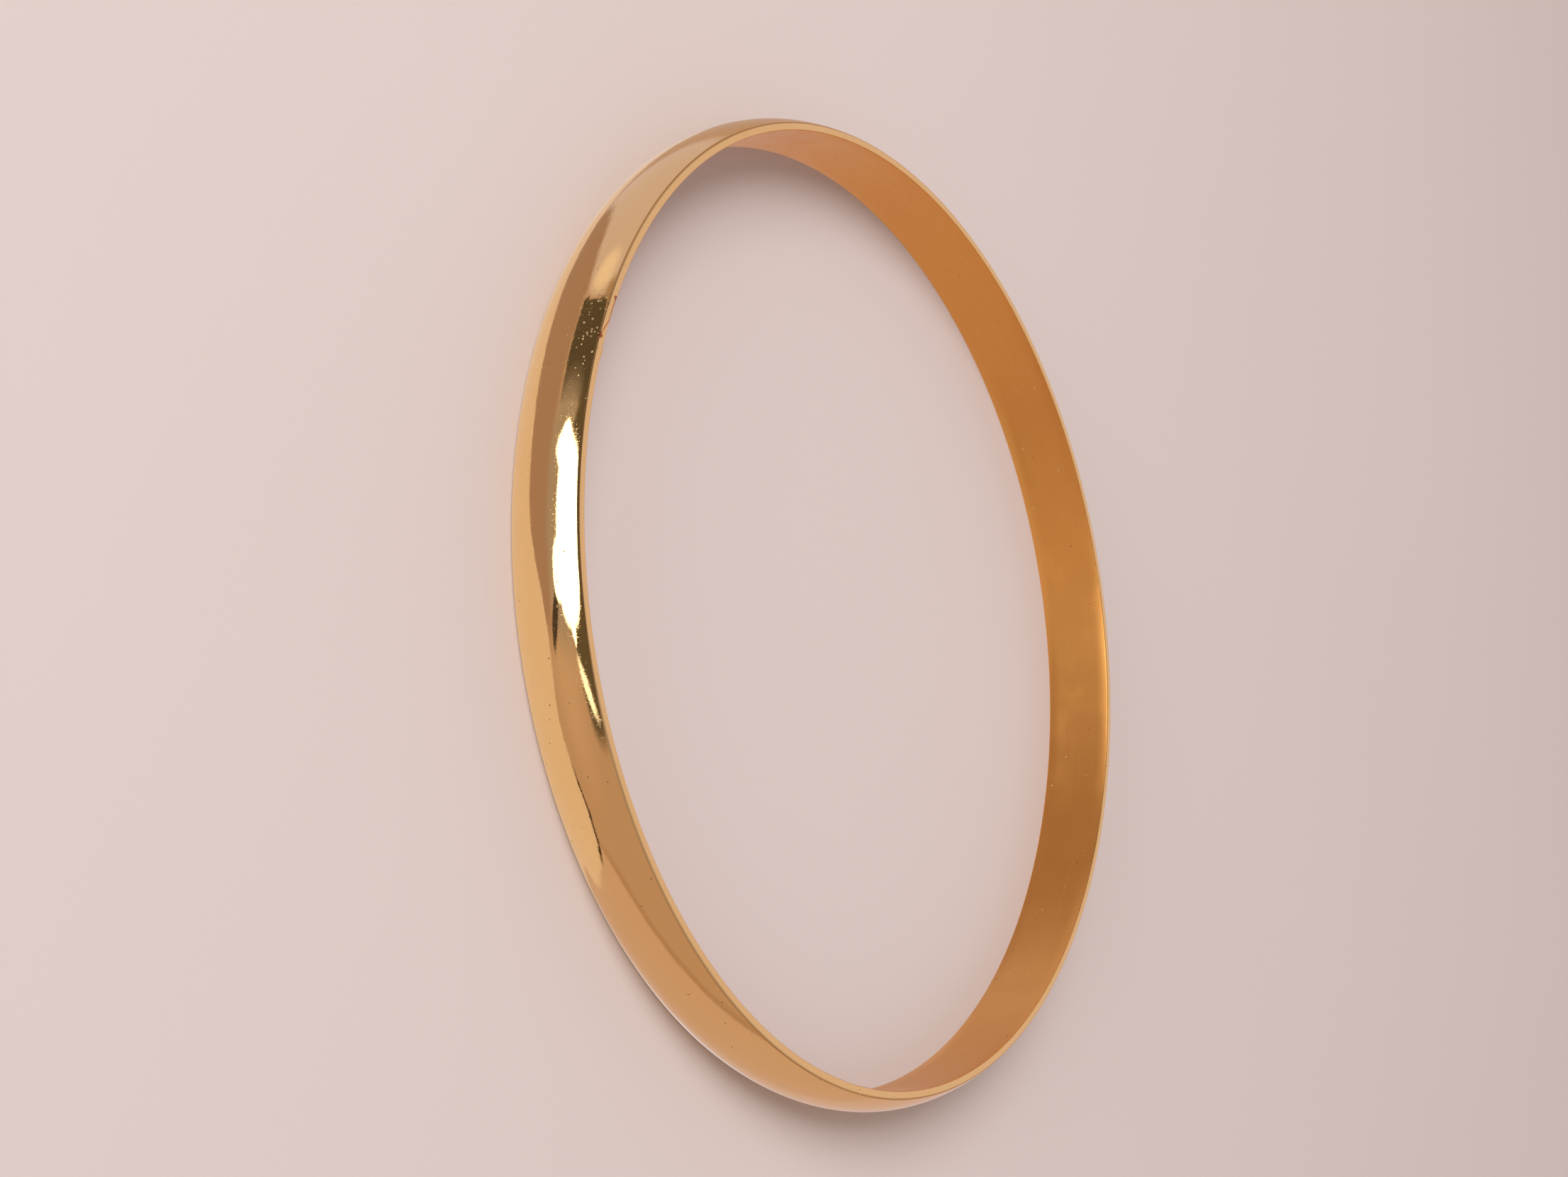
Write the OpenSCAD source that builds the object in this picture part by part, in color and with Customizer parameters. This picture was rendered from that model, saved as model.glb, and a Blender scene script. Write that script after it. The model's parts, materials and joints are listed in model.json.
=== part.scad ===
// A closed wrist bangle: one half-round strip of metal, domed outside and flat on the wrist side,
// bent into a ring. The ring lies flat: its axis is +Z and its lower rim is on z = 0.
// The strip's two ends meet in a slanting (scarf) joint that crosses the rims at the middle
// of the -Y side, and a thin seam of solder fills the joint.

/* [Wrist opening] */
// Inner diameter, which is the bangle's size
inner_d = 63.5; // [54:0.5:76]

/* [Band] */
// Width of the band, from rim to rim
band_w = 5; // [3:0.1:8]
// Radial width of the flat rim, which is the strip's thickness at its edges
rim_t = 0.5; // [0.3:0.05:1.2]
// Height of the dome above the rims
dome_h = 0.75; // [0.4:0.05:1.2]

/* [Closing joint] */
// Angle between the slanting joint and the band, seen along the ring's axis
scarf_angle = 16; // [14:1:40]
// Thickness of the solder seam
solder_t = 0.08; // [0.06:0.02:0.2]

/* [Hidden] */
// Every circle and revolved shape is round
$fn = 180;
inner_r = inner_d / 2;
// Thickness of the strip at the crown of the dome
crown_t = rim_t + dome_h;
outer_r = inner_r + crown_t;
// The dome is a circular arc over the band's whole width
dome_r = (pow(band_w / 2, 2) + pow(dome_h, 2)) / (2 * dome_h);
// The joint crosses the middle of each rim at this radius
joint_r = inner_r + rim_t / 2;
// How far the joint's cutting slab runs from there, past the wrist side and past the dome
inward_l = rim_t / sin(scarf_angle);
outward_l = 1.1 * (dome_h + rim_t / 2) / sin(scarf_angle);
// How far the cutting slab stands past each rim
overrun = 1;

// Cross-section of the strip: radius along x, height along y
module strip_section() {
    intersection() {
        translate([inner_r, 0])
            square([crown_t, band_w]);
        translate([outer_r - dome_r, band_w / 2])
            circle(r = dome_r);
    }
}

// The strip as a full ring, before its ends are cut
module whole_ring() {
    rotate_extrude()
        strip_section();
}

// The slanting slab that the solder fills
module joint_slab() {
    translate([0, -joint_r, -overrun])
        rotate([0, 0, -scarf_angle])
            translate([-inward_l, -solder_t / 2, 0])
                cube([inward_l + outward_l, solder_t, band_w + 2 * overrun]);
}

// The half-round strip, with its scarfed ends
module band() {
    color([0.83, 0.61, 0.33])
        difference() {
            whole_ring();
            joint_slab();
        }
}

// The solder between the two ends
module joint_solder() {
    color([0.62, 0.36, 0.22])
        intersection() {
            whole_ring();
            joint_slab();
        }
}

band();
joint_solder();
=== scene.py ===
"""A plain closed bangle: one half-round, polished, gold-plated band, flat on the wrist side, and the seam
of solder that closes it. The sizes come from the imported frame, and everything is in metres."""

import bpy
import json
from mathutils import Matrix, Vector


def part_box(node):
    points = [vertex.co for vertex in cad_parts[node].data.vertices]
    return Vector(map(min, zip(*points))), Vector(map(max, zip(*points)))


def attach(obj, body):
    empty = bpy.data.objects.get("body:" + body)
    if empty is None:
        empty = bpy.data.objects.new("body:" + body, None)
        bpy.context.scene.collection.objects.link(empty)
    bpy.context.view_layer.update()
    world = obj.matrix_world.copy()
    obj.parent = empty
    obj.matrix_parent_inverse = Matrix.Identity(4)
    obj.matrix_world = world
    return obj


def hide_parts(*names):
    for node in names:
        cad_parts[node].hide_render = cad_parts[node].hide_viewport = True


bl_info = {
    "name": "Domed Bangle",
    "version": (1, 0, 0),
    "blender": (4, 5, 0),
    "location": "View3D > Sidebar > Bangle",
    "description": "Builds a polished domed bangle, its soldered joint and a small photo studio",
    "category": "Add Mesh",
}

import json
import math

import bmesh
import bpy
from bpy.props import FloatProperty, FloatVectorProperty, IntProperty, PointerProperty
from bpy.types import Operator, Panel, PropertyGroup
from mathutils import Matrix, Vector

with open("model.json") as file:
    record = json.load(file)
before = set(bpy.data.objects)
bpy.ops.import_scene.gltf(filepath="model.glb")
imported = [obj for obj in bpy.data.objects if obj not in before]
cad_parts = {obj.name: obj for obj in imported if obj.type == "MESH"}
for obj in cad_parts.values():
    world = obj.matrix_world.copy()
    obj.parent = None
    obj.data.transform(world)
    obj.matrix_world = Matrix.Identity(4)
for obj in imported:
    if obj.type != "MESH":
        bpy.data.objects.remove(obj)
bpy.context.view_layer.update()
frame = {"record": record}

MM = 0.001
BODY = "root"

# The ring's main sizes, read from the frame
BAND_LOW, BAND_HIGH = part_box("band")
OPENING = next(m for m in frame["record"]["mounts"] if m["name"] == "wrist_opening")
INNER_R = OPENING["dims"]["r_mm"] * MM
BAND_W = BAND_HIGH.z - BAND_LOW.z
OUTER_R = BAND_HIGH.x
RADIAL_H = OUTER_R - INNER_R


# ---------------------------------------------------------------- settings


class BangleSizes(PropertyGroup):
    rim_thickness: FloatProperty(
        name="Rim thickness",
        description="Radial width of the flat rim",
        default=0.5 * MM, unit="LENGTH", precision=5,
    )
    wrist_edge: FloatProperty(
        name="Wrist edge rounding",
        description="How far the polishing has rounded the edges beside the wrist",
        default=0.08 * MM, unit="LENGTH", precision=6,
    )
    dome_edge: FloatProperty(
        name="Dome edge rounding",
        description="How far the polishing has rounded the edges where the dome meets the rims",
        default=0.09 * MM, unit="LENGTH", precision=6,
    )
    ring_steps: IntProperty(
        name="Ring steps",
        description="Number of steps round the ring, a multiple of 36",
        default=1080,
    )
    dome_steps: IntProperty(
        name="Dome steps",
        description="Number of steps across the dome",
        default=32,
    )
    wall_steps: IntProperty(
        name="Wall steps",
        description="Number of steps across the wrist side",
        default=6,
    )


class BangleJoint(PropertyGroup):
    scarf_angle: FloatProperty(
        name="Scarf angle",
        description="Angle between the slanting joint and the band",
        default=math.radians(16), subtype="ANGLE",
    )
    solder_gap: FloatProperty(
        name="Solder thickness",
        description="Thickness of the solder seam",
        default=0.08 * MM, unit="LENGTH", precision=6,
    )
    burr_angle: FloatProperty(
        name="Burr angle",
        description="Where the burr of solder starts on the wrist edge of the upper rim, past the joint",
        default=math.radians(2.5), subtype="ANGLE",
    )
    burr_length: FloatProperty(
        name="Burr length",
        description="Length over which the burr tapers away",
        default=1.3 * MM, unit="LENGTH", precision=6,
    )
    burr_radius: FloatProperty(
        name="Burr radius",
        description="Radius of the burr at its thick end",
        default=0.13 * MM, unit="LENGTH", precision=6,
    )


class BangleFinish(PropertyGroup):
    gold: FloatVectorProperty(
        name="Gold",
        description="Colour of the polished plating",
        default=(0.93, 0.62, 0.30), subtype="COLOR", min=0, max=1,
    )
    tarnish: FloatVectorProperty(
        name="Tarnish",
        description="Colour where solder shows through the plating",
        default=(0.33, 0.075, 0.03), subtype="COLOR", min=0, max=1,
    )
    # The wrist side's colour is partly the plating's own gold and partly painted shade: its deeper orange
    # stands in for the shaded, gold-tinted reflections inside the ring
    inside: FloatVectorProperty(
        name="Wrist side",
        description="Colour of the satin wrist side, where the plating is a deeper orange",
        default=(0.86, 0.44, 0.135), subtype="COLOR", min=0, max=1,
    )
    roughness: FloatProperty(
        name="Roughness",
        description="Roughness of the polished surface",
        default=0.05, subtype="FACTOR", min=0, max=1,
    )
    inside_roughness: FloatProperty(
        name="Wrist side roughness",
        description="Roughness of the satin wrist side",
        default=0.36, subtype="FACTOR", min=0, max=1,
    )


class BangleStudio(PropertyGroup):
    floor_radius: FloatProperty(
        name="Floor radius",
        description="Radius of the round floor",
        default=3.0, unit="LENGTH",
    )
    floor_colour: FloatVectorProperty(
        name="Floor colour",
        description="Colour of the pale floor",
        default=(0.69, 0.61, 0.60), subtype="COLOR", min=0, max=1,
    )
    window_power: FloatProperty(
        name="Window brightness",
        description="Brightness of the window that makes the main highlight",
        default=4.0,
    )
    key_power: FloatProperty(
        name="Key light power",
        description="Power of the soft light that falls on the floor from the joint's side",
        default=3.9, unit="POWER",
    )
    lens: FloatProperty(
        name="Lens",
        description="Focal length of the camera, in millimetres",
        default=59.46,
    )
    azimuth: FloatProperty(
        name="Azimuth",
        description="Where the camera stands round the ring, from the joint's side",
        default=math.radians(35.74), subtype="ANGLE",
    )
    elevation: FloatProperty(
        name="Elevation",
        description="Height of the camera above the floor, as an angle",
        default=math.radians(33.27), subtype="ANGLE",
    )
    roll: FloatProperty(
        name="Roll",
        description="Turn of the camera about its own line of sight",
        default=math.radians(80.86), subtype="ANGLE",
    )
    distance: FloatProperty(
        name="Distance",
        description="Distance from the camera to its target",
        default=0.16638, unit="LENGTH",
    )
    target: FloatVectorProperty(
        name="Target",
        description="Point that the camera looks at",
        default=(2.97 * MM, -7.65 * MM, 2.5 * MM), subtype="XYZ", unit="LENGTH",
    )


# ---------------------------------------------------------------- node helpers


def add_node(tree, kind, **settings):
    """Adds a node and sets its plain properties."""
    made = tree.nodes.new(kind)
    for name, value in settings.items():
        setattr(made, name, value)
    return made


def feed(tree, source, socket):
    """Links an output to a socket, or sets the socket where the source is a plain value."""
    if isinstance(source, bpy.types.NodeSocket):
        tree.links.new(source, socket)
    else:
        socket.default_value = source


def maths(tree, operation, *values):
    """One Math node."""
    made = add_node(tree, "ShaderNodeMath", operation=operation)
    for value, socket in zip(values, made.inputs):
        feed(tree, value, socket)
    return made.outputs[0]


def ramp(tree, value, low, high, start=0.0, end=1.0):
    """A smooth step from start to end as value goes from low to high."""
    made = add_node(tree, "ShaderNodeMapRange", interpolation_type="SMOOTHSTEP")
    sources = {"Value": value, "From Min": low, "From Max": high, "To Min": start, "To Max": end}
    for name, source in sources.items():
        feed(tree, source, made.inputs[name])
    return made.outputs["Result"]


def blend(tree, factor, first, second):
    """Mixes two colours."""
    made = add_node(tree, "ShaderNodeMix", data_type="RGBA")
    feed(tree, factor, made.inputs[0])
    feed(tree, first, made.inputs[6])
    feed(tree, second, made.inputs[7])
    return made.outputs[2]


def noise(tree, vector, scale, detail=2.0, roughness=0.5):
    """A noise texture's value."""
    made = add_node(tree, "ShaderNodeTexNoise")
    feed(tree, vector, made.inputs["Vector"])
    made.inputs["Scale"].default_value = scale
    made.inputs["Detail"].default_value = detail
    made.inputs["Roughness"].default_value = roughness
    return made.outputs["Fac"]


def new_group(name, inputs, outputs):
    """An empty node group with the sockets named, and what its input and output nodes offer."""
    tree = bpy.data.node_groups.new(name, "ShaderNodeTree")
    for socket, kind in inputs.items():
        tree.interface.new_socket(socket, in_out="INPUT", socket_type=kind)
    for socket, kind in outputs.items():
        tree.interface.new_socket(socket, in_out="OUTPUT", socket_type=kind)
    return tree, tree.nodes.new("NodeGroupInput").outputs, tree.nodes.new("NodeGroupOutput").inputs


def use_group(tree, group, **values):
    """Places a group in a tree, with values for its inputs by name, where _ stands for a space."""
    made = add_node(tree, "ShaderNodeGroup", node_tree=group)
    for name, value in values.items():
        feed(tree, value, made.inputs[name.replace("_", " ")])
    return made.outputs


def rgba(colour):
    """A colour property as the four numbers that a socket takes."""
    return (*colour, 1.0)


def new_material(name):
    """A material with an empty node tree, its Principled shader and its Object coordinates."""
    material = bpy.data.materials.new(name)
    material.use_nodes = True
    tree = material.node_tree
    tree.nodes.clear()
    shader = tree.nodes.new("ShaderNodeBsdfPrincipled")
    output = tree.nodes.new("ShaderNodeOutputMaterial")
    tree.links.new(shader.outputs["BSDF"], output.inputs["Surface"])
    place = tree.nodes.new("ShaderNodeTexCoord").outputs["Object"]
    return material, tree, shader, place


# ---------------------------------------------------------------- finishes

FLOAT = "NodeSocketFloat"
VECTOR = "NodeSocketVector"
PIT_COLOUR = (0.10, 0.04, 0.02)
DUST_COLOUR = (0.86, 0.62, 0.36)
# Painted shade: colour of the dark line along the crease where the dome meets each rim
CREASE_SHADE_COLOUR = (0.30, 0.13, 0.05)
THREAD_COLOUR = (0.60, 0.24, 0.09)
# Dark stains on the upper rim: degrees past the joint, distance from the wall and size in millimetres
STAINS = ((-4.0, 0.09, 0.22), (1.3, 0.46, 0.26))
# Height of the deepest marks in the polish
POLISH_DEPTH = 0.01 * MM
# Spots in the polish: how many to a metre, the share of them that show, and where each one's edge fades
PITS = (1900, 0.30, 0.05, 0.10)
NIBS = (11000, 0.45, 0.10, 0.40)
SPECKS_PER_METRE = 3600
SPECK_FADE = (0.16, 0.30)


def spots(tree, place, scale, share, inner, outer):
    """Round spots in a share of the cells of a Voronoi pattern: 1 in a spot, 0 outside."""
    cells = add_node(tree, "ShaderNodeTexVoronoi", feature="F1")
    feed(tree, place, cells.inputs["Vector"])
    cells.inputs["Scale"].default_value = scale
    pick = add_node(tree, "ShaderNodeSeparateColor")
    feed(tree, cells.outputs["Color"], pick.inputs[0])
    # Each spot has its own size
    size = maths(tree, "MULTIPLY_ADD", pick.outputs[1], 0.8, 0.4)
    spread = maths(tree, "DIVIDE", cells.outputs["Distance"], size)
    chosen = maths(tree, "LESS_THAN", pick.outputs[0], share)
    return maths(tree, "MULTIPLY", ramp(tree, spread, inner, outer, 1.0, 0.0), chosen)


def polish_group():
    """The marks that handling leaves on polished plating: pits, dust, worn patches and a fine grain."""
    tree, given, out = new_group(
        "worn_polish",
        {"Place": VECTOR, "Grain": FLOAT, "Dust": FLOAT},
        {"Pits": FLOAT, "Specks": FLOAT, "Tone": FLOAT, "Wear": FLOAT, "Height": FLOAT},
    )
    place = given["Place"]
    pits = spots(tree, place, *PITS)
    specks = spots(tree, place, SPECKS_PER_METRE, given["Dust"], *SPECK_FADE)
    nibs = spots(tree, place, *NIBS)
    feed(tree, pits, out["Pits"])
    feed(tree, specks, out["Specks"])
    feed(tree, noise(tree, place, 160, 3.0), out["Tone"])
    wear = ramp(tree, noise(tree, place, 420, 4.0, 0.6), 0.40, 0.70)
    feed(tree, wear, out["Wear"])
    broad = maths(tree, "MULTIPLY", noise(tree, place, 260, 1.0), 0.7)
    fine = maths(tree, "ADD", noise(tree, place, 9000, 2.0), nibs)
    worn = maths(tree, "MULTIPLY", fine, maths(tree, "MULTIPLY_ADD", wear, 0.7, 0.3))
    height = maths(tree, "MULTIPLY_ADD", worn, given["Grain"], broad)
    height = maths(tree, "SUBTRACT", height, maths(tree, "MULTIPLY", pits, 0.4))
    height = maths(tree, "ADD", height, maths(tree, "MULTIPLY", specks, 0.5))
    feed(tree, height, out["Height"])
    return tree


def worn_polish():
    """The shared polish group, made once."""
    return bpy.data.node_groups.get("worn_polish") or polish_group()


def finish_metal(tree, shader, polish, colour, roughness, change):
    """Joins the polish group to a metal's shader. Wear changes the roughness by a share of itself."""
    colour = blend(tree, polish["Pits"], colour, rgba(PIT_COLOUR))
    colour = blend(tree, polish["Specks"], colour, rgba(DUST_COLOUR))
    feed(tree, colour, shader.inputs["Base Color"])
    rough = maths(tree, "MULTIPLY_ADD", polish["Wear"], roughness * change, roughness * (1 - change / 2))
    rough = maths(tree, "MULTIPLY_ADD", polish["Specks"], 0.4, rough)
    feed(tree, rough, shader.inputs["Roughness"])
    shader.inputs["Metallic"].default_value = 1.0
    bump = add_node(tree, "ShaderNodeBump")
    bump.inputs["Strength"].default_value = 1.0
    bump.inputs["Distance"].default_value = POLISH_DEPTH
    feed(tree, polish["Height"], bump.inputs["Height"])
    feed(tree, bump.outputs["Normal"], shader.inputs["Normal"])


def axes_of(tree, vector):
    """The three numbers of a vector, by name."""
    made = add_node(tree, "ShaderNodeSeparateXYZ")
    feed(tree, vector, made.inputs[0])
    return made.outputs


def near_joint(tree, axes, before, after, fade):
    """1 on the stretch of ring from before to after the joint, in metres along X, fading out at its ends."""
    started = ramp(tree, axes["X"], before - fade, before)
    ended = ramp(tree, axes["X"], after, after + fade, 1.0, 0.0)
    front = maths(tree, "LESS_THAN", axes["Y"], 0.0)
    return maths(tree, "MULTIPLY", maths(tree, "MULTIPLY", started, ended), front)


def ring_radius(tree, axes):
    """Distance from the ring's axis."""
    squares = [maths(tree, "MULTIPLY", axes[name], axes[name]) for name in "XY"]
    return maths(tree, "SQRT", maths(tree, "ADD", *squares))


def stain(tree, place, angle, radius, size):
    """A round stain on the upper rim, at an angle past the joint and a distance from the axis."""
    centre = Matrix.Rotation(angle - math.pi / 2, 3, "Z") @ Vector((radius, 0, BAND_W))
    away = add_node(tree, "ShaderNodeVectorMath", operation="DISTANCE")
    feed(tree, place, away.inputs[0])
    away.inputs[1].default_value = centre
    return ramp(tree, away.outputs["Value"], size * 0.4, size, 1.0, 0.0)


def gold_material(settings, group, rim):
    """Mirror-polished gold plating, with dust and a thread of bare solder beside the joint."""
    material, tree, shader, place = new_material("polished_gold")
    axes = axes_of(tree, place)
    upper = ramp(tree, axes["Z"], BAND_W * 0.45, BAND_W * 0.75)
    dusty = maths(tree, "MULTIPLY", near_joint(tree, axes, -1.6 * MM, 2.2 * MM, 2 * MM), upper)
    dust = maths(tree, "MULTIPLY_ADD", dusty, 0.6, 0.02)
    polish = use_group(tree, group, Place=place, Grain=0.2, Dust=dust)
    deeper = tuple(c * k for c, k in zip(settings.gold, (0.97, 0.94, 0.88)))
    colour = blend(tree, polish["Tone"], rgba(settings.gold), rgba(deeper))
    radius = ring_radius(tree, axes)
    # Painted shade: a dark line is painted along the crease where the dome meets each rim
    from_crease = maths(tree, "ABSOLUTE", maths(tree, "SUBTRACT", radius, INNER_R + rim + 0.02 * MM))
    from_middle = maths(tree, "ABSOLUTE", maths(tree, "SUBTRACT", axes["Z"], BAND_W / 2))
    rims = maths(tree, "GREATER_THAN", from_middle, BAND_W / 2 - 0.12 * MM)
    crease_shade = maths(tree, "MULTIPLY", ramp(tree, from_crease, 0.02 * MM, 0.06 * MM, 0.45, 0.0), rims)
    colour = blend(tree, crease_shade, colour, rgba(CREASE_SHADE_COLOUR))
    # The thread runs along the wrist edge of the upper rim, up to the joint, between two stains
    edge = ramp(tree, radius, INNER_R + 0.10 * MM, INNER_R + 0.22 * MM, 0.85, 0.0)
    top = maths(tree, "GREATER_THAN", axes["Z"], BAND_W - 0.15 * MM)
    thread = maths(tree, "MULTIPLY", edge, near_joint(tree, axes, -2.1 * MM, -0.9 * MM, 0.3 * MM))
    colour = blend(tree, maths(tree, "MULTIPLY", thread, top), colour, rgba(THREAD_COLOUR))
    for angle, from_wall, size in STAINS:
        mark = stain(tree, place, math.radians(angle), INNER_R + from_wall * MM, size * MM)
        colour = blend(tree, mark, colour, rgba(settings.tarnish))
    finish_metal(tree, shader, polish, colour, settings.roughness, 1.0)
    return material


def inside_material(settings, group):
    """The satin wrist side, which is brushed along the band. Its deeper orange colour is partly the plating's
    gold and partly painted shade, standing in for the shaded, gold-tinted reflections inside the ring.
    """
    material, tree, shader, place = new_material("satin_gold_inside")
    polish = use_group(tree, group, Place=place, Grain=0.3, Dust=0.03)
    axes = axes_of(tree, place)
    lines = add_node(tree, "ShaderNodeCombineXYZ")
    feed(tree, maths(tree, "MULTIPLY", axes["X"], 0.02), lines.inputs["X"])
    feed(tree, maths(tree, "MULTIPLY", axes["Y"], 0.02), lines.inputs["Y"])
    feed(tree, axes["Z"], lines.inputs["Z"])
    brushed = noise(tree, lines.outputs["Vector"], 9000, 3.0, 0.7)
    deeper = tuple(c * k for c, k in zip(settings.inside, (0.92, 0.84, 0.70)))
    colour = blend(tree, brushed, rgba(settings.inside), rgba(deeper))
    finish_metal(tree, shader, polish, colour, settings.inside_roughness, 0.15)
    return material


def solder_material(settings, group):
    """Plated solder, reddish where the plating has worn off the rims."""
    material, tree, shader, place = new_material("plated_solder")
    polish = use_group(tree, group, Place=place, Grain=0.3, Dust=0.1)
    axes = axes_of(tree, place)
    from_middle = maths(tree, "ABSOLUTE", maths(tree, "SUBTRACT", axes["Z"], BAND_W / 2))
    bare = ramp(tree, from_middle, BAND_W / 2 - 0.10 * MM, BAND_W / 2 - 0.02 * MM)
    colour = blend(tree, bare, rgba(settings.gold), rgba(THREAD_COLOUR))
    finish_metal(tree, shader, polish, colour, settings.roughness, 1.0)
    return material


# ---------------------------------------------------------------- the ring

# Edges that turn by more than this are sharp before polishing: the ring's, and the burr's
RING_SHARP = math.radians(20)
BURR_SHARP = math.radians(40)
# The arc of ring that the solder is cut from. Its ends lie on two of the whole ring's steps.
SOLDER_ARC_START = math.radians(-110)
SOLDER_ARC = math.radians(40)
# Points nearer to a cutting plane than this lie on it
ON_PLANE = 1e-8


def step_from(bm, vert, offset):
    """A new vertex joined to vert by an edge, at that offset from it."""
    made = bmesh.ops.extrude_vert_indiv(bm, verts=[vert])["verts"][0]
    bmesh.ops.translate(bm, verts=[made], vec=offset)
    return made


def arc_from(bm, vert, centre, angle, steps):
    """An arc of edges swept from vert about an axis along Y. Gives its last vertex."""
    last = bmesh.ops.spin(
        bm, geom=[vert], cent=centre, axis=(0, 1, 0), angle=angle, steps=steps,
        use_merge=False, use_duplicate=False,
    )["geom_last"]
    return next(g for g in last if isinstance(g, bmesh.types.BMVert))


def ring_section(bm, sizes):
    """The strip's cross-section as a closed loop of edges on the XZ plane, on the ring's +X side."""
    dome_rise = RADIAL_H - sizes.rim_thickness
    dome_r = (BAND_W ** 2 / 4 + dome_rise ** 2) / (2 * dome_rise)
    dome_turn = 2 * math.asin(BAND_W / 2 / dome_r)
    first = bm.verts.new((INNER_R + sizes.rim_thickness, 0, 0))
    dome_centre = (OUTER_R - dome_r, 0, BAND_W / 2)
    last = arc_from(bm, first, dome_centre, -dome_turn, sizes.dome_steps)
    last = step_from(bm, last, (-sizes.rim_thickness, 0, 0))
    for _ in range(sizes.wall_steps):
        last = step_from(bm, last, (0, 0, -BAND_W / sizes.wall_steps))
    bm.edges.new((last, first))


def round_edges(bm, nearest, furthest, offset, segments):
    """Rounds the sharp edges that lie between two distances from the ring's axis."""
    sharp = [
        e for e in bm.edges
        if not e.is_boundary and e.calc_face_angle(0) > RING_SHARP
        and nearest < e.verts[0].co.xy.length < furthest
    ]
    bmesh.ops.bevel(
        bm, geom=sharp, offset=offset, offset_type="OFFSET", segments=segments, profile=0.5,
        affect="EDGES", material=-1, clamp_overlap=True,
    )


def spin_ring(bm, sizes, start=0.0, turn=math.tau):
    """The strip bent into a ring, or an arc of one, with its edges rounded by polishing."""
    ring_section(bm, sizes)
    bmesh.ops.rotate(bm, verts=bm.verts[:], cent=(0, 0, 0), matrix=Matrix.Rotation(start, 3, "Z"))
    full = turn == math.tau
    bmesh.ops.spin(
        bm, geom=bm.verts[:] + bm.edges[:], cent=(0, 0, 0), axis=(0, 0, 1), angle=turn,
        steps=round(sizes.ring_steps * turn / math.tau), use_merge=full, use_duplicate=False,
    )
    bmesh.ops.recalc_face_normals(bm, faces=bm.faces[:])
    round_edges(bm, INNER_R + sizes.rim_thickness / 2, OUTER_R, sizes.dome_edge, 4)
    round_edges(bm, 0, INNER_R + sizes.rim_thickness / 2, sizes.wrist_edge, 3)


def cut_at_joint(bm, sizes, joint, keep_solder):
    """Cuts the ring by the two faces of the slanting joint. Keeps the sliver between them, or all the rest,
    and closes the cut ends."""
    middle = Vector((0, -(INNER_R + sizes.rim_thickness / 2), BAND_W / 2))
    across = Vector((math.sin(joint.scarf_angle), math.cos(joint.scarf_angle), 0))
    reach = 1.5 * RADIAL_H / math.sin(joint.scarf_angle)

    def close_faces():
        return [f for f in bm.faces if f.calc_center_median().y < 0 and abs(f.calc_center_median().x) < reach]

    for side in (-1, 1):
        faces = close_faces()
        edges = {e for f in faces for e in f.edges}
        verts = {v for f in faces for v in f.verts}
        bmesh.ops.bisect_plane(
            bm, geom=[*faces, *edges, *verts], dist=ON_PLANE,
            plane_co=middle + across * side * joint.solder_gap / 2, plane_no=across,
        )
    between = {
        f for f in close_faces()
        if abs((f.calc_center_median() - middle).dot(across)) < joint.solder_gap / 2
    }
    unwanted = [f for f in bm.faces if (f in between) != keep_solder]
    bmesh.ops.delete(bm, geom=unwanted, context="FACES")
    ends = [e for e in bm.edges if e.is_boundary]
    for edge in ends:
        edge.smooth = False
    caps = bmesh.ops.holes_fill(bm, edges=ends, sides=0)["faces"]
    if len(caps) != 2:
        raise RuntimeError(f"the joint closed {len(caps)} ends, and there are 2")
    bmesh.ops.triangulate(bm, faces=caps, ngon_method="EAR_CLIP")
    bmesh.ops.recalc_face_normals(bm, faces=bm.faces[:])


def finish_piece(bm, name, materials, node):
    """Makes a bmesh into a piece that rides on the bangle and stands for its CAD node."""
    if not bm.faces:
        raise RuntimeError(f"{name} has no faces")
    for face in bm.faces:
        face.smooth = True
    mesh = bpy.data.meshes.new(name)
    bm.to_mesh(mesh)
    bm.free()
    for material in materials:
        mesh.materials.append(material)
    piece = bpy.data.objects.new(name, mesh)
    bpy.context.scene.collection.objects.link(piece)
    level = piece.modifiers.new("even_shading", "WEIGHTED_NORMAL")
    level.mode = "FACE_AREA"
    level.keep_sharp = True
    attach(piece, BODY)
    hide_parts(node)


def burr(bm, joint):
    """A burr of solder on the wrist edge of the upper rim: thick at its first end, and tapering away."""
    made = bmesh.new()
    bmesh.ops.create_cone(
        made, cap_ends=True, cap_tris=False, segments=24, radius1=joint.burr_radius,
        radius2=joint.burr_radius * 0.3, depth=joint.burr_length,
    )
    bmesh.ops.bevel(
        made, geom=[e for e in made.edges if e.calc_face_angle(0) > BURR_SHARP],
        offset=joint.burr_radius * 0.25, offset_type="OFFSET", segments=3, profile=0.5,
        affect="EDGES", material=-1, clamp_overlap=True,
    )
    middle = joint.burr_angle + joint.burr_length / 2 / INNER_R - math.pi / 2
    place = Matrix.Rotation(middle, 4, "Z")
    place @= Matrix.Translation((INNER_R, 0, BAND_W - joint.burr_radius))
    place @= Matrix.Rotation(-math.pi / 2, 4, "X")
    bmesh.ops.transform(made, matrix=place, verts=made.verts[:])
    for face in made.faces:
        face.material_index = 1
    shape = bpy.data.meshes.new("burr")
    made.to_mesh(shape)
    made.free()
    bm.from_mesh(shape)
    bpy.data.meshes.remove(shape)


# ---------------------------------------------------------------- the studio

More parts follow.
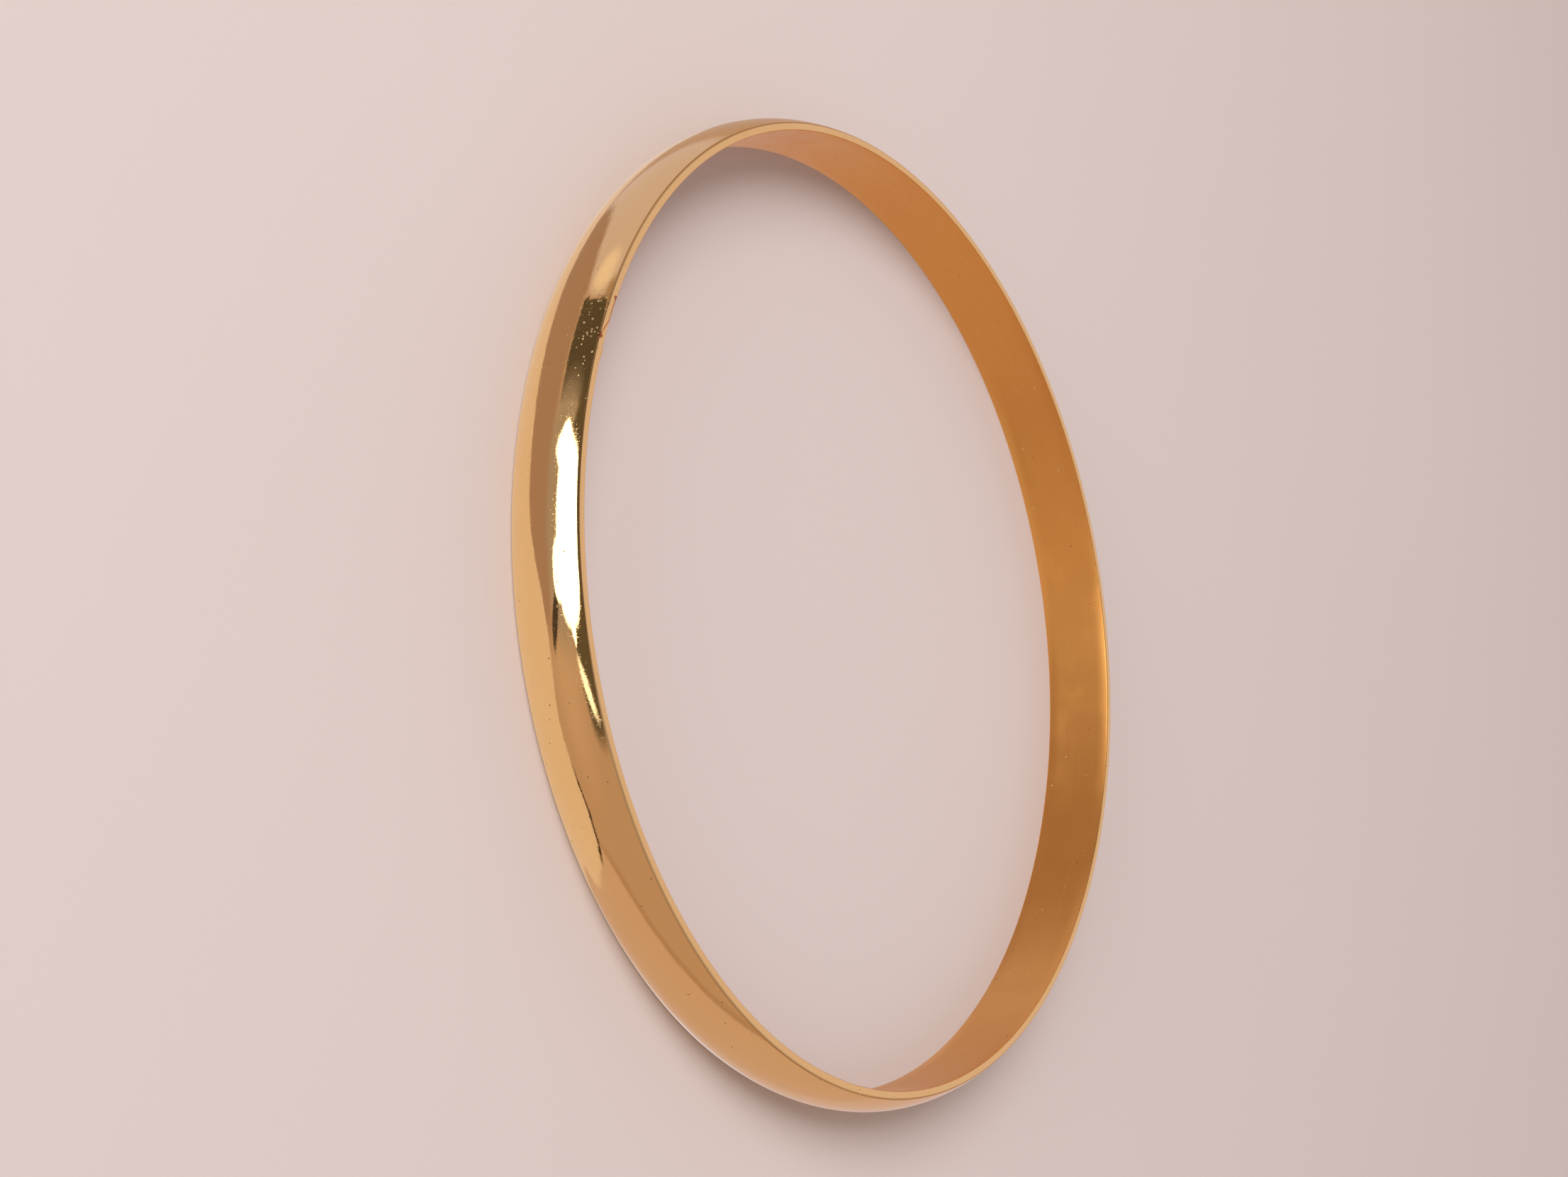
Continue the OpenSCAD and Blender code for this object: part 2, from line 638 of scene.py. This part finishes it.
# What stands round the studio, as the ring sees it: name, azimuth, elevation, half width, half height,
# tilt (rise for each degree of azimuth), shape (2 is an ellipse, 8 nearly a rectangle), blur and colour.
# Angles are in degrees, blur is a share of the half height, and later ones stand in front of earlier ones.
SURROUNDINGS = (
    ("warm_wall", 0, -32, 200, 62, 0, 8, 0.08, (0.54, 0.395, 0.315)),
    ("pink_wall", 71, -34, 60, 32, 0, 3, 0.35, (0.67, 0.52, 0.48)),
    ("slope_shade", 28, -41, 42, 46, 0.65, 8, 0.07, (0.47, 0.32, 0.235)),
    ("cloth_slope", 30, -46, 44, 45, 0.65, 8, 0.05, (0.64, 0.485, 0.42)),
    ("pale_wall", 127, 32, 26, 22, 0, 3, 0.30, (0.74, 0.64, 0.61)),
    ("bright_sheet", 127, -60, 34, 22, 0, 4, 0.15, (0.82, 0.77, 0.84)),
    ("warm_glow", -56, -12, 24, 17, 0, 2, 0.6, (0.61, 0.46, 0.37)),
    ("table_shade", -121, -36, 62, 19, 0, 5, 0.10, (0.41, 0.29, 0.245)),
    ("lilac_screen", -158, -11, 27, 18, 0.5, 6, 0.10, (0.67, 0.60, 0.65)),
    ("bright_card", -137, -3, 5.5, 9, 0, 2, 0.5, (0.90, 0.82, 0.78)),
    ("door_frame", -133, 14, 4, 7, 0, 2, 0.4, (0.44, 0.32, 0.22)),
    ("dark_ceiling", -112, 63, 70, 22, 0, 3, 0.25, (0.20, 0.16, 0.12)),
    ("dark_doorway", -118, 9.5, 11.6, 24, 0.1, 20, 0.025, (0.105, 0.09, 0.065)),
    ("door_foot", -129, -12.5, 1.7, 3, 0, 6, 0.15, (0.105, 0.09, 0.065)),
    ("door_post", -129, 11, 1.6, 6, 0, 6, 0.15, (0.105, 0.09, 0.065)),
    ("window_glow", -83, -1, 27, 20, 0, 3, 0.24, (0.42, 0.37, 0.35)),
    ("window_frame", -73, 26, 38, 17, 0, 4, 0.10, (0.13, 0.11, 0.075)),
    ("window_shade", -62, -16.5, 6.5, 5, -1.1, 1.6, 0.2, (0.08, 0.065, 0.055)),
)
# Bright openings, with their share of the window's brightness in place of a colour
WINDOWS = (
    ("window", -79.5, 9.6, 19.5, 15.8, 0, 3, 0.05, 1.0),
    ("window_left", -96, 2.7, 6.4, 13.5, 0, 1.35, 0.08, 1.0),
    ("window_right", -61, 10, 5, 3.5, 0, 1.5, 0.15, 0.9),
    ("window_foot", -71.5, -6, 6.5, 7.5, 0, 2, 0.1, 0.9),
    ("small_window", -47, 15.8, 6.5, 3.4, 0.8, 2, 0.4, 0.5),
)
WINDOW_TINT = (1.0, 1.0, 0.96)
# The edge of the pale cloth that lies below: its elevation where it is flat, and its soft folds,
# each with its azimuth, its width and how far it lifts the edge, in degrees
CLOTH_LEVEL = -52
CLOTH_FOLDS = ((-60, 20, 20.5), (-19, 20, 19), (60, 45, -16), (150, 36, 20))
CLOTH = (0.84, 0.71, 0.63)
CLOTH_SHADOW = (0.10, 0.06, 0.04)
CEILING = (0.58, 0.52, 0.50)
BACKDROP = (0.74, 0.62, 0.59)
# The key light's place round the ring and its height, in degrees, then its distance and size in metres
KEY_AZIMUTH = -100
KEY_ELEVATION = 45
KEY_DISTANCE = 0.7
KEY_SIZE = 0.45
KEY_COLOUR = (1.0, 0.96, 0.94)
SENSOR_WIDTH = 36
NEAR_CLIP = 0.005


def zone_group():
    """A soft-edged shape in the directions round the ring, from azimuth and elevation."""
    names = ("Azimuth", "Elevation", "Centre", "Height", "Half Width", "Half Height", "Tilt", "Shape", "Blur")
    tree, given, out = new_group("direction_zone", dict.fromkeys(names, FLOAT), {"Mask": FLOAT})
    aside = maths(tree, "WRAP", maths(tree, "SUBTRACT", given["Azimuth"], given["Centre"]), 180, -180)
    rise = maths(tree, "SUBTRACT", given["Elevation"], given["Height"])
    rise = maths(tree, "SUBTRACT", rise, maths(tree, "MULTIPLY", aside, given["Tilt"]))
    shares = [
        maths(tree, "POWER", maths(tree, "ABSOLUTE", maths(tree, "DIVIDE", far, half)), given["Shape"])
        for far, half in ((aside, given["Half Width"]), (rise, given["Half Height"]))
    ]
    total = maths(tree, "POWER", maths(tree, "ADD", *shares), maths(tree, "DIVIDE", 1.0, given["Shape"]))
    low = maths(tree, "SUBTRACT", 1.0, given["Blur"])
    high = maths(tree, "ADD", 1.0, given["Blur"])
    feed(tree, ramp(tree, total, low, high, 1.0, 0.0), out["Mask"])
    return tree


def cloth_edge(tree, azimuth):
    """The elevation of the cloth's edge at an azimuth, lifted or lowered by each soft fold."""
    edge = CLOTH_LEVEL
    for centre, width, rise in CLOTH_FOLDS:
        aside = maths(tree, "WRAP", maths(tree, "SUBTRACT", azimuth, centre), 180, -180)
        share = maths(tree, "DIVIDE", aside, width)
        fall = maths(tree, "MULTIPLY", maths(tree, "MULTIPLY", share, share), -1.0)
        edge = maths(tree, "MULTIPLY_ADD", maths(tree, "EXPONENT", fall), rise, edge)
    return edge


def studio_world(studio):
    """The light of the studio. The camera itself sees only a plain backdrop."""
    world = bpy.data.worlds.new("bangle_studio")
    bpy.context.scene.world = world
    world.use_nodes = True
    tree = world.node_tree
    tree.nodes.clear()
    towards = tree.nodes.new("ShaderNodeTexCoord").outputs["Generated"]
    axes = axes_of(tree, towards)
    azimuth = maths(tree, "DEGREES", maths(tree, "ARCTAN2", axes["Y"], axes["X"]))
    height = maths(tree, "DEGREES", maths(tree, "ARCSINE", axes["Z"]))
    ripple = maths(tree, "MULTIPLY_ADD", noise(tree, towards, 9, 3.0), 3.0, -1.5)
    elevation = maths(tree, "ADD", height, ripple)
    zone = zone_group()
    colour = rgba(CEILING)
    windows = [
        (*shape, tuple(c * share * studio.window_power for c in WINDOW_TINT)) for *shape, share in WINDOWS
    ]
    for _, centre, middle, half_w, half_h, tilt, shape, blur, tone in (*SURROUNDINGS, *windows):
        mask = use_group(
            tree, zone, Azimuth=azimuth, Elevation=elevation, Centre=centre, Height=middle,
            Half_Width=half_w, Half_Height=half_h, Tilt=tilt, Shape=shape, Blur=blur,
        )["Mask"]
        colour = blend(tree, mask, colour, rgba(tone))
    rough = maths(tree, "MULTIPLY_ADD", noise(tree, towards, 22, 4.0, 0.7), 4.0, -2.0)
    under = maths(tree, "ADD", maths(tree, "SUBTRACT", cloth_edge(tree, azimuth), elevation), rough)
    # A dark gap shows under the cloth's edge along a short stretch
    ragged = maths(tree, "MULTIPLY_ADD", noise(tree, towards, 70, 3.0, 0.8), 4.0, -4.6)
    gap = maths(tree, "MULTIPLY", maths(tree, "GREATER_THAN", under, ragged), ramp(tree, azimuth, -32, -26))
    gap = maths(tree, "MULTIPLY", gap, ramp(tree, azimuth, -8, -2, 1.0, 0.0))
    colour = blend(tree, gap, colour, rgba(CLOTH_SHADOW))
    weave = noise(tree, towards, 55, 5.0, 0.8)
    cloth = blend(tree, ramp(tree, weave, 0.3, 0.7), rgba(tuple(c * 0.88 for c in CLOTH)), rgba(CLOTH))
    colour = blend(tree, ramp(tree, under, -0.8, 0.8), colour, cloth)
    seen = tree.nodes.new("ShaderNodeLightPath").outputs["Is Camera Ray"]
    colour = blend(tree, seen, colour, rgba(BACKDROP))
    shade = tree.nodes.new("ShaderNodeBackground")
    feed(tree, colour, shade.inputs["Color"])
    output = tree.nodes.new("ShaderNodeOutputWorld")
    tree.links.new(shade.outputs["Background"], output.inputs["Surface"])


def studio_key(studio):
    """A large soft light on the joint's side, which lights the floor and doesn't show in the polish."""
    data = bpy.data.lights.new("key_light", "AREA")
    data.shape = "DISK"
    data.size = KEY_SIZE
    data.energy = studio.key_power
    data.color = KEY_COLOUR
    light = bpy.data.objects.new("key_light", data)
    bpy.context.scene.collection.objects.link(light)
    turn, height = math.radians(KEY_AZIMUTH), math.radians(KEY_ELEVATION)
    towards = Vector((math.cos(turn) * math.cos(height), math.sin(turn) * math.cos(height), math.sin(height)))
    aim = towards.to_track_quat("Z", "Y").to_matrix().to_4x4()
    light.matrix_world = Matrix.Translation(towards * KEY_DISTANCE) @ aim
    light.visible_glossy = False
    light.visible_camera = False


def studio_floor(studio):
    """The plain pale floor that the bangle lies on."""
    bm = bmesh.new()
    bmesh.ops.create_circle(bm, cap_ends=True, segments=128, radius=studio.floor_radius)
    mesh = bpy.data.meshes.new("floor")
    bm.to_mesh(mesh)
    bm.free()
    floor = bpy.data.objects.new("floor", mesh)
    bpy.context.scene.collection.objects.link(floor)
    material, tree, shader, place = new_material("pale_floor")
    tone = noise(tree, place, 14, 2.0)
    darker = tuple(c * 0.96 for c in studio.floor_colour)
    feed(tree, blend(tree, tone, rgba(studio.floor_colour), rgba(darker)), shader.inputs["Base Color"])
    shader.inputs["Roughness"].default_value = 0.9
    shader.inputs["Specular IOR Level"].default_value = 0.1
    mesh.materials.append(material)
    floor.visible_glossy = False


def studio_camera(studio):
    """The camera, from its place round the target, its height and its roll."""
    back = Vector((
        math.sin(studio.azimuth) * math.cos(studio.elevation),
        -math.cos(studio.azimuth) * math.cos(studio.elevation),
        math.sin(studio.elevation),
    ))
    level = Vector((math.cos(studio.azimuth), math.sin(studio.azimuth), 0))
    upright = back.cross(level)
    turned = Matrix((level, upright, back)).transposed() @ Matrix.Rotation(studio.roll, 3, "Z")
    data = bpy.data.cameras.new("camera")
    data.lens = studio.lens
    data.sensor_width = SENSOR_WIDTH
    data.clip_start = NEAR_CLIP
    camera = bpy.data.objects.new("camera", data)
    bpy.context.scene.collection.objects.link(camera)
    place = Vector(studio.target) + back * studio.distance
    camera.matrix_world = Matrix.Translation(place) @ turned.to_4x4()
    bpy.context.scene.camera = camera


# ---------------------------------------------------------------- operators


class BANGLE_OT_band(Operator):
    """Build the domed, polished band with its scarfed ends"""

    bl_idname = "bangle.band"
    bl_label = "Domed Band"

    def execute(self, context):
        scene = context.scene
        finish = scene.bangle_finish
        bm = bmesh.new()
        spin_ring(bm, scene.bangle_sizes)
        cut_at_joint(bm, scene.bangle_sizes, scene.bangle_joint, keep_solder=False)
        # The wrist side's finish reaches over the rounding of its edges
        wall = INNER_R + scene.bangle_sizes.wrist_edge * 0.7
        for face in bm.faces:
            if face.calc_center_median().xy.length < wall:
                face.material_index = 1
        rim = scene.bangle_sizes.rim_thickness
        materials = [gold_material(finish, worn_polish(), rim), inside_material(finish, worn_polish())]
        finish_piece(bm, "polished_band", materials, "band")
        return {"FINISHED"}


class BANGLE_OT_joint(Operator):
    """Build the seam of solder that closes the ring, and its burr"""

    bl_idname = "bangle.joint"
    bl_label = "Solder Seam"

    def execute(self, context):
        scene = context.scene
        sizes = scene.bangle_sizes
        bm = bmesh.new()
        # The arc shares the whole ring's steps, so that the two pieces share their facets
        spin_ring(bm, sizes, start=SOLDER_ARC_START, turn=SOLDER_ARC)
        cut_at_joint(bm, sizes, scene.bangle_joint, keep_solder=True)
        burr(bm, scene.bangle_joint)
        group = worn_polish()
        gold = bpy.data.materials.get("polished_gold")
        gold = gold or gold_material(scene.bangle_finish, group, sizes.rim_thickness)
        materials = [solder_material(scene.bangle_finish, group), gold]
        finish_piece(bm, "solder_seam", materials, "joint_solder")
        return {"FINISHED"}


class BANGLE_OT_studio(Operator):
    """Set up the pale floor, the soft studio light and the camera"""

    bl_idname = "bangle.studio"
    bl_label = "Studio"

    def execute(self, context):
        studio = context.scene.bangle_studio
        studio_floor(studio)
        studio_world(studio)
        studio_key(studio)
        studio_camera(studio)
        context.scene.view_settings.view_transform = "Standard"
        return {"FINISHED"}


class BANGLE_PT_panel(Panel):
    bl_idname = "BANGLE_PT_panel"
    bl_label = "Domed Bangle"
    bl_space_type = "VIEW_3D"
    bl_region_type = "UI"
    bl_category = "Bangle"

    def draw(self, context):
        for operator in OPERATORS:
            self.layout.operator(operator.bl_idname)


GROUPS = {
    "bangle_sizes": BangleSizes,
    "bangle_joint": BangleJoint,
    "bangle_finish": BangleFinish,
    "bangle_studio": BangleStudio,
}
OPERATORS = (BANGLE_OT_studio, BANGLE_OT_band, BANGLE_OT_joint)


def register():
    for cls in (*GROUPS.values(), *OPERATORS, BANGLE_PT_panel):
        bpy.utils.register_class(cls)
    for name, group in GROUPS.items():
        setattr(bpy.types.Scene, name, PointerProperty(type=group))


def unregister():
    for name in GROUPS:
        delattr(bpy.types.Scene, name)
    for cls in (BANGLE_PT_panel, *reversed(OPERATORS), *reversed(GROUPS.values())):
        bpy.utils.unregister_class(cls)


def main():
    register()
    bpy.ops.bangle.studio()
    bpy.ops.bangle.band()
    bpy.ops.bangle.joint()


if __name__ == "__main__":
    main()
